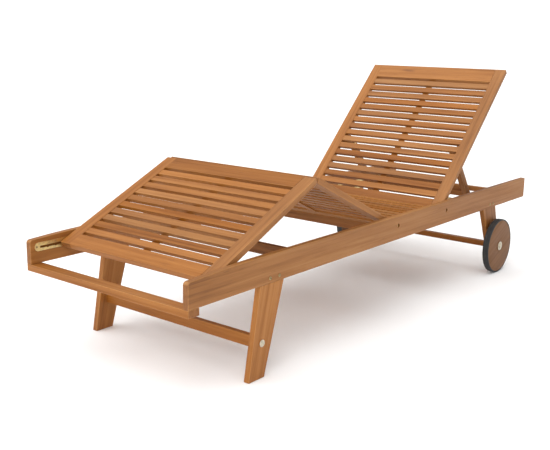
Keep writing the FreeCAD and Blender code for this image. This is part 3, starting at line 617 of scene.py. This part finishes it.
def make_piece(name, parts, material, body, stands_for):
    """Join turned parts into one mesh, finish it and fix it to its body."""
    points, faces, start = [], [], 0
    for part_points, part_faces in parts:
        points.append(part_points)
        faces.append(part_faces + start)
        start += len(part_points)
    mesh = bpy.data.meshes.new(name)
    mesh.from_pydata(np.vstack(points).tolist(), [], np.vstack(faces).tolist())
    mesh.validate()
    mesh.update()
    close_seams(mesh)
    mesh.materials.append(material)
    piece = bpy.data.objects.new(name, mesh)
    bpy.context.scene.collection.objects.link(piece)
    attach(piece, body)
    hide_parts(stands_for)
    print(name, "parts", len(parts), "faces", len(mesh.polygons))

# %% [markdown]
# ## Wheel discs
#
# Each wheel is a solid disc cut from a board and bored for its bush. The disc's rims are
# rounded. The CAD disc could be used as it is, but it is a plain cylinder with sharp edges,
# and a turned wheel is eased all round. The wheels' timber is painted darker than the
# boards, as painted shade for discs that stand in shade, and its grain stands at a slant,
# as a wheel comes to rest.

# %% Wheel discs
disc_low, disc_high = box_of("wheel_disc_right")
bush_low, bush_high = box_of("wheel_bush_right")
WHEEL_THICK = disc_high[0] - disc_low[0]
DISC_R = (disc_high[2] - disc_low[2]) / 2
BUSH_R = (bush_high[2] - bush_low[2]) / 2
DISC_EASE = 0.0016
WHEEL_SLANT = 24.0
# The wheels' timber is darkened by this factor: painted shade, for discs that stand in shade.
WHEEL_PAINTED_SHADE = 0.52
wheel_face = WHEEL_THICK / 2
disc_profile = rounded([
    (-wheel_face, BUSH_R), (-wheel_face, DISC_R), (wheel_face, DISC_R), (wheel_face, BUSH_R),
    (-wheel_face, BUSH_R)], DISC_EASE)
WHEEL_TIMBER = timber("timber_wheels", "y", WHEEL_SLANT, painted_shade_tone=WHEEL_PAINTED_SHADE)
print("disc thickness", WHEEL_THICK, "radius", DISC_R)

# %% [markdown]
# ## Tyres
#
# A thin rubber band is pressed round each disc. Its tread is crowned, so that it runs quietly
# on paving, and two fine grooves run round it. The grooves could be painted on as dark
# lines, but they show in the tyre's outline, so they are part of its profile. Across the
# band, k from 0 to 1, the radius is
# $$r = R - c\,(2k - 1)^4 - \sum_g d\,e^{-((x - x_g)/w)^2}.$$

# %% Tyres
TYRE_R = WHEEL_PIVOT[2]
TYRE_FIT = 0.0001
CROWN = 0.0011
GROOVE_PLACES = np.array([[-0.0046], [0.0046]])
GROOVE_DEEP = 0.0011
GROOVE_WIDE = 0.0008
k = np.linspace(0.0, 1.0, 61)
x = -wheel_face + WHEEL_THICK * k
grooves = (GROOVE_DEEP * np.exp(-((x - GROOVE_PLACES) / GROOVE_WIDE) ** 2)).sum(0)
tread = np.column_stack([x, TYRE_R - CROWN * (2 * k - 1) ** 4 - grooves])
inside = DISC_R + TYRE_FIT
tyre_profile = [(-wheel_face, inside), *tread, (wheel_face, inside), (-wheel_face, inside)]
print("tyre radius", TYRE_R, "points across the tread", len(tread))

# %% [markdown]
# ## Both wheels
#
# The two wheels are the same pattern, facing opposite ways. The left one could be a mirrored
# copy, but a mirror turns a surface inside out, so each is swept from the profiles. A disc
# and its tyre ride on the same body, because they turn together.

# %% Both wheels
WHEEL_STEPS = 96
for side, name in ((1.0, "right"), (-1.0, "left")):
    hub = (side * WHEEL_PIVOT[0], WHEEL_PIVOT[1], WHEEL_PIVOT[2])
    make_piece(f"turned_disc_{name}", [turned(disc_profile, hub, side, WHEEL_STEPS)],
               WHEEL_TIMBER, f"wheel_{name}", f"wheel_disc_{name}")
    make_piece(f"moulded_tyre_{name}", [turned(tyre_profile, hub, side, WHEEL_STEPS)], RUBBER,
               f"wheel_{name}", f"tyre_{name}")

# %% [markdown]
# ## Axle fittings
#
# A spacer tube keeps the wheel off the leg. Outside it come a broad washer and a domed cap
# nut, pushed on the end of the axle. The cap is low, so that it does not catch a foot. The
# cap could be a squashed ball, but a real one has a short straight foot, so its profile is a
# step followed by a quarter of an ellipse.

# %% Spacers, washers and caps
BORE_R = 0.0051
SPACER_R = 0.009
WASHER_R = 0.017
WASHER_THICK = 0.002
WASHER_EASE = 0.0006
WASHER_GAP = 0.0003
NUT_R = 0.009
NUT_FOOT = 0.0015
NUT_TALL = 0.005
DOME_R = 0.0086
DOME_TALL = 0.0034
wheel_in, wheel_out = WHEEL_PIVOT[0] - wheel_face, WHEEL_PIVOT[0] + wheel_face
spacer_end = wheel_in - WASHER_GAP
washer_in = wheel_out + WASHER_GAP
nut_in = washer_in + WASHER_THICK


def ring_profile(near, far, inner, outer):
    """A plain ring from near to far along its axis, between two radii."""
    return [(near, inner), (near, outer), (far, outer), (far, inner), (near, inner)]


spacer_profile = ring_profile(RAIL_FACE, spacer_end, BORE_R, SPACER_R)
washer_profile = rounded(ring_profile(washer_in, nut_in, BORE_R, WASHER_R), WASHER_EASE)
k = np.linspace(0.0, math.pi / 2 - 0.12, 9)
dome = np.column_stack([nut_in + NUT_FOOT + DOME_TALL * np.sin(k), DOME_R * np.cos(k)])
cap_profile = [(nut_in, 0.0), (nut_in, NUT_R), (nut_in + NUT_FOOT, NUT_R), *dome,
               (nut_in + NUT_TALL, 0.0)]
axle_line = (0.0, *WHEEL_PIVOT[1:])
fittings = [turned(profile, axle_line, side, 48) for side in (1.0, -1.0)
            for profile in (spacer_profile, washer_profile, cap_profile)]
make_piece("axle_cap_nuts", fittings, ZINC_BRIGHT, "frame", "axle_fittings")
print("spacer", RAIL_FACE, "to", round(spacer_end, 4), "cap to", round(nut_in + NUT_TALL, 4))

# %% [markdown]
# ## Screws
#
# Round-headed screws hold the legs to the rails, and small flat ones hold the slotted plates.
# A head is a low dome with a driving socket, drawn here as a small round well with a flat
# bottom. The thread is left out, because it is buried in the timber. A head could be cut out
# of a ball with a Boolean, but a profile makes dome, well and shank in one sweep.

# %% Frame screws
WELL_SHARE = 0.38


def screw_profile(face, dome, radius, shank, tip):
    """A domed screw head on a face, with a well in it, and its shank back to the tip.

    At k of the head's radius the dome stands dome sqrt(1 - (0.98 k)^2) above the face.
    """
    k = np.linspace(WELL_SHARE, 1.0, 8)[::-1]
    head = np.column_stack([face + dome * np.sqrt(1 - (k * 0.98) ** 2), radius * k])
    well_floor = face + dome * 0.25
    return [(tip, 0.0), (tip, shank), (face, shank), (face, radius), *head,
            (well_floor, radius * WELL_SHARE), (well_floor, 0.0)]


# The places of the screws along the rails repeat the part's own.
LEG_SCREW_Z = 0.2661
LEG_SCREW_Y = (-0.6730, -0.6350, 0.6545, 0.6825)
PLATE_SCREWS = ((-0.9550, 0.2990), (-0.8510, 0.2990), (0.5178, 0.2704), (0.8310, 0.2704))
PLATE_SHANK_R = 0.0017
PLATE_HEAD_R = 0.0030
PLATE_HEAD_TALL = 0.0006
leg_screw = screw_profile(face=RAIL_FACE, dome=0.002, radius=0.005, shank=0.0025,
                          tip=RAIL_FACE - 0.0125)
plate_tip = PLATE_FACE + 0.0115
half_head = PLATE_FACE - PLATE_HEAD_TALL / 2
plate_screw = [(plate_tip, 0.0), (plate_tip, PLATE_SHANK_R), (PLATE_FACE, PLATE_SHANK_R),
               (PLATE_FACE, PLATE_HEAD_R), (half_head, 0.0028),
               (PLATE_FACE - PLATE_HEAD_TALL, 0.0012), (half_head, 0.0010), (half_head, 0.0)]
screws = []
for side in (1.0, -1.0):
    for y, z in PLATE_SCREWS:
        screws.append(turned(plate_screw, (0.0, y, z), side, 24))
    for y in LEG_SCREW_Y:
        screws.append(turned(leg_screw, (0.0, y, LEG_SCREW_Z), side, 32))
# The screws take the darkest plating, which is painted shade for their sockets.
make_piece("domed_screws", screws, ZINC_PAINTED_SHADE, "frame", "frame_screws")

# %% [markdown]
# ## Stretcher bolts
#
# One bolt through each front leg holds the stretcher between them. It is the same shape as a
# screw but larger, and it stands on a washer. It could be joined to the screws, but it is
# brighter than they are, so it is a piece of its own.

# %% Stretcher bolts
STRETCHER_PLACE = (0.0, -0.7040, 0.097)
BOLT_WASHER_THICK = 0.0015
bolt_face = RAIL_FACE + BOLT_WASHER_THICK
stretcher_bolt = screw_profile(face=bolt_face, dome=0.002, radius=0.0055, shank=0.0025,
                               tip=RAIL_FACE - 0.045)
bolt_washer = rounded(ring_profile(RAIL_FACE, bolt_face, inner=0.0026, outer=0.010),
                      radius=0.0004)
bolts = [turned(profile, STRETCHER_PLACE, side, 40) for side in (1.0, -1.0)
         for profile in (stretcher_bolt, bolt_washer)]
make_piece("stretcher_bolts", bolts, ZINC_BRIGHT, "frame", "frame_screws")

# %% [markdown]
# ## Pivot bolts
#
# The backrest and the leg rest turn on shouldered bolts: a thin shank in the stile, a collar
# that keeps the stile off the rail, and a head with a socket that sits in a counterbore in
# the rail. Plain cylinders would do for the ends, but the collar and the socket are what
# make it a bolt that a panel can turn on. The bolts of the prop face inward, and have a flat
# head with an eased rim.

# %% Pivot bolts
SHANK_R = 0.003
COLLAR_R = 0.007
COLLAR_THICK = 0.002
HEAD_TALL = 0.003
SOCKET_R = 0.0026
bolt_in = STILE_FACE - 0.0155
head_in = box_of("back_pivot_bolts")[1][0] - HEAD_TALL
collar_out = STILE_FACE + COLLAR_THICK
pivot_profile = [(bolt_in, 0.0), (bolt_in, SHANK_R), (STILE_FACE, SHANK_R),
                 (STILE_FACE, COLLAR_R), (collar_out, COLLAR_R), (collar_out, SHANK_R),
                 (head_in, SHANK_R), (head_in, 0.0058), (head_in + 0.0006, 0.006),
                 (head_in + 0.0024, 0.006), (head_in + HEAD_TALL, 0.0054),
                 (head_in + HEAD_TALL, SOCKET_R), (head_in + 0.001, SOCKET_R),
                 (head_in + 0.001, 0.0)]
for name, body, pivot in (("back_pivot_bolts", "backrest", BACK_PIVOT),
                          ("thigh_pivot_bolts", "thigh", THIGH_PIVOT)):
    pair = [turned(pivot_profile, (0.0, *pivot[1:]), side, 40) for side in (1.0, -1.0)]
    make_piece(f"shouldered_{name}", pair, ZINC, body, name)
PROP_HEAD_R = 0.0065
PROP_HEAD_TALL = 0.004
PROP_SHANK_R = 0.004
head_end = 0.2064
neck = head_end + PROP_HEAD_TALL
shank_end = box_of("prop_pivot_bolts")[1][0]
prop_profile = [(head_end, 0.0), (head_end, 0.0056), (head_end + 0.0008, PROP_HEAD_R),
                (neck, PROP_HEAD_R), (neck, PROP_SHANK_R), (shank_end, PROP_SHANK_R),
                (shank_end, 0.0)]
pair = [turned(prop_profile, (0.0, *PROP_PIVOT[1:]), side, 40) for side in (1.0, -1.0)]
make_piece("shouldered_prop_bolts", pair, ZINC, "backrest", "prop_pivot_bolts")

# %% [markdown]
# ## Floor
#
# The lounger stands on a broad pale sheet. A plane from the menu would do, but it is as easy
# to work out: u and v run from -1 to 1, and each point is (reach u, reach v, -drop). It lies
# half a millimetre low, so that the feet and tyres never share a surface with it.

# %% Floor
FLOOR_REACH = 30.0
FLOOR_DROP = 0.0005
FLOOR_STEPS = 9


def studio_floor(reach, drop, steps):
    """A flat sheet: P(u, v) = (reach u, reach v, -drop) for u, v in -1..1."""
    u, v = np.meshgrid(np.linspace(-1, 1, steps), np.linspace(-1, 1, steps), indexing="ij")
    points = np.stack([reach * u, reach * v, 0 * u - drop], -1).reshape(-1, 3)
    i = (np.arange(steps - 1)[:, None] * steps + np.arange(steps - 1)).reshape(-1)
    faces = np.stack([i, i + steps, i + steps + 1, i + 1], -1)
    mesh = bpy.data.meshes.new("studio_floor")
    mesh.from_pydata(points.tolist(), [], faces.tolist())
    mesh.update()
    return mesh


floor_material, _, floor_shader = start_material("studio_white")
floor_shader.inputs["Base Color"].default_value = (0.98, 0.98, 0.98, 1.0)
floor_shader.inputs["Roughness"].default_value = 0.85
floor_mesh = studio_floor(FLOOR_REACH, FLOOR_DROP, FLOOR_STEPS)
floor_mesh.materials.append(floor_material)
floor = bpy.data.objects.new("studio_floor", floor_mesh)
bpy.context.scene.collection.objects.link(floor)
print("floor faces:", len(floor_mesh.polygons))

# %% [markdown]
# ## Lamps
#
# A wide silk hangs overhead, and a soft box at the foot end lifts the near faces. Small lamps
# would throw hard shadows, which a product studio avoids, so the silk is a sun that spans 80
# degrees of sky.

# %% Lamps
BOX_PLACE = (1.6, -3.6, 1.9)
BOX_AIM = (0.2, -0.6, 0.3)
BOX_SIZE = 1.8
BOX_POWER = 34.0
SILK_POWER = 2.35
SILK_SPAN = math.radians(80)
SILK_TILT = (math.radians(22), math.radians(-8), 0.0)


def soft_box(name, place, aim, size, power):
    """A square area light at place, whose -Z axis points at aim."""
    lamp = bpy.data.lights.new(name, "AREA")
    lamp.size = size
    lamp.energy = power
    holder = bpy.data.objects.new(name, lamp)
    bpy.context.scene.collection.objects.link(holder)
    back = np.array(place) - np.array(aim)
    back /= np.linalg.norm(back)
    right = np.cross((0.0, 0.0, 1.0), back)
    right /= np.linalg.norm(right)
    turn = Matrix((right, np.cross(back, right), back)).transposed().to_4x4()
    holder.matrix_world = Matrix.Translation(place) @ turn


soft_box("foot_box", BOX_PLACE, BOX_AIM, BOX_SIZE, BOX_POWER)
silk_lamp = bpy.data.lights.new("silk_overhead", "SUN")
silk_lamp.energy = SILK_POWER
silk_lamp.angle = SILK_SPAN
silk = bpy.data.objects.new("silk_overhead", silk_lamp)
bpy.context.scene.collection.objects.link(silk)
silk.rotation_euler = SILK_TILT
print("foot box", BOX_POWER, "W, silk", SILK_POWER)

# %% [markdown]
# ## Surround
#
# A white studio sends light back from all round, most of it from low down. A picture of a
# studio could be wrapped round the scene. A plain gradient is enough here: brightest near the
# horizon, and falling off with height. Colours are shown as they are, with no film curve, so
# the oiled timber keeps its orange.

# %% Surround
HORIZON_GLOW = 1.12
OVERHEAD_GLOW = 0.66
world = bpy.data.worlds.new("studio_surround")
world.use_nodes = True
sky = world.node_tree
direction = add(sky, "ShaderNodeTexCoord").outputs["Generated"]
height = calc(sky, "ABSOLUTE", add(sky, "ShaderNodeSeparateXYZ", {0: direction}).outputs[2])
backdrop = sky.nodes["Background"]
backdrop.inputs["Color"].default_value = (1.0, 1.0, 1.0, 1.0)
sky.links.new(spread(sky, height, 0.06, 0.30, HORIZON_GLOW, OVERHEAD_GLOW),
              backdrop.inputs["Strength"])
bpy.context.scene.world = world
bpy.context.scene.view_settings.view_transform = "Standard"
print("surround", HORIZON_GLOW, "at the horizon,", OVERHEAD_GLOW, "overhead")

# %% [markdown]
# ## Camera
#
# The camera stands at the foot end, to the right, and looks down a little along the lounger.
# It could be aimed with a Track To constraint, but a hand-held camera is also rolled a
# little, so its three axes are worked out from yaw, pitch and roll.

# %% Camera
CAMERA_PLACE = (1.6113, -2.3007, 0.8803)
CAMERA_YAW = 0.670
CAMERA_PITCH = 0.223
CAMERA_ROLL = 0.017
SENSOR_WIDE = 36.0
FOCAL_LENGTH = 54.9
ahead = np.array([-math.sin(CAMERA_YAW) * math.cos(CAMERA_PITCH),
                  math.cos(CAMERA_YAW) * math.cos(CAMERA_PITCH), -math.sin(CAMERA_PITCH)])
level = np.cross(ahead, (0.0, 0.0, 1.0))
level /= np.linalg.norm(level)
above = np.cross(level, ahead)
right = math.cos(CAMERA_ROLL) * level + math.sin(CAMERA_ROLL) * above
top = -math.sin(CAMERA_ROLL) * level + math.cos(CAMERA_ROLL) * above
lens = bpy.data.cameras.new("camera")
lens.sensor_width = SENSOR_WIDE
lens.lens = FOCAL_LENGTH
camera = bpy.data.objects.new("camera", lens)
bpy.context.scene.collection.objects.link(camera)
camera.matrix_world = (Matrix.Translation(CAMERA_PLACE)
                       @ Matrix((right, top, -ahead)).transposed().to_4x4())
bpy.context.scene.camera = camera
print("camera at", CAMERA_PLACE, "looking along", ahead.round(3))
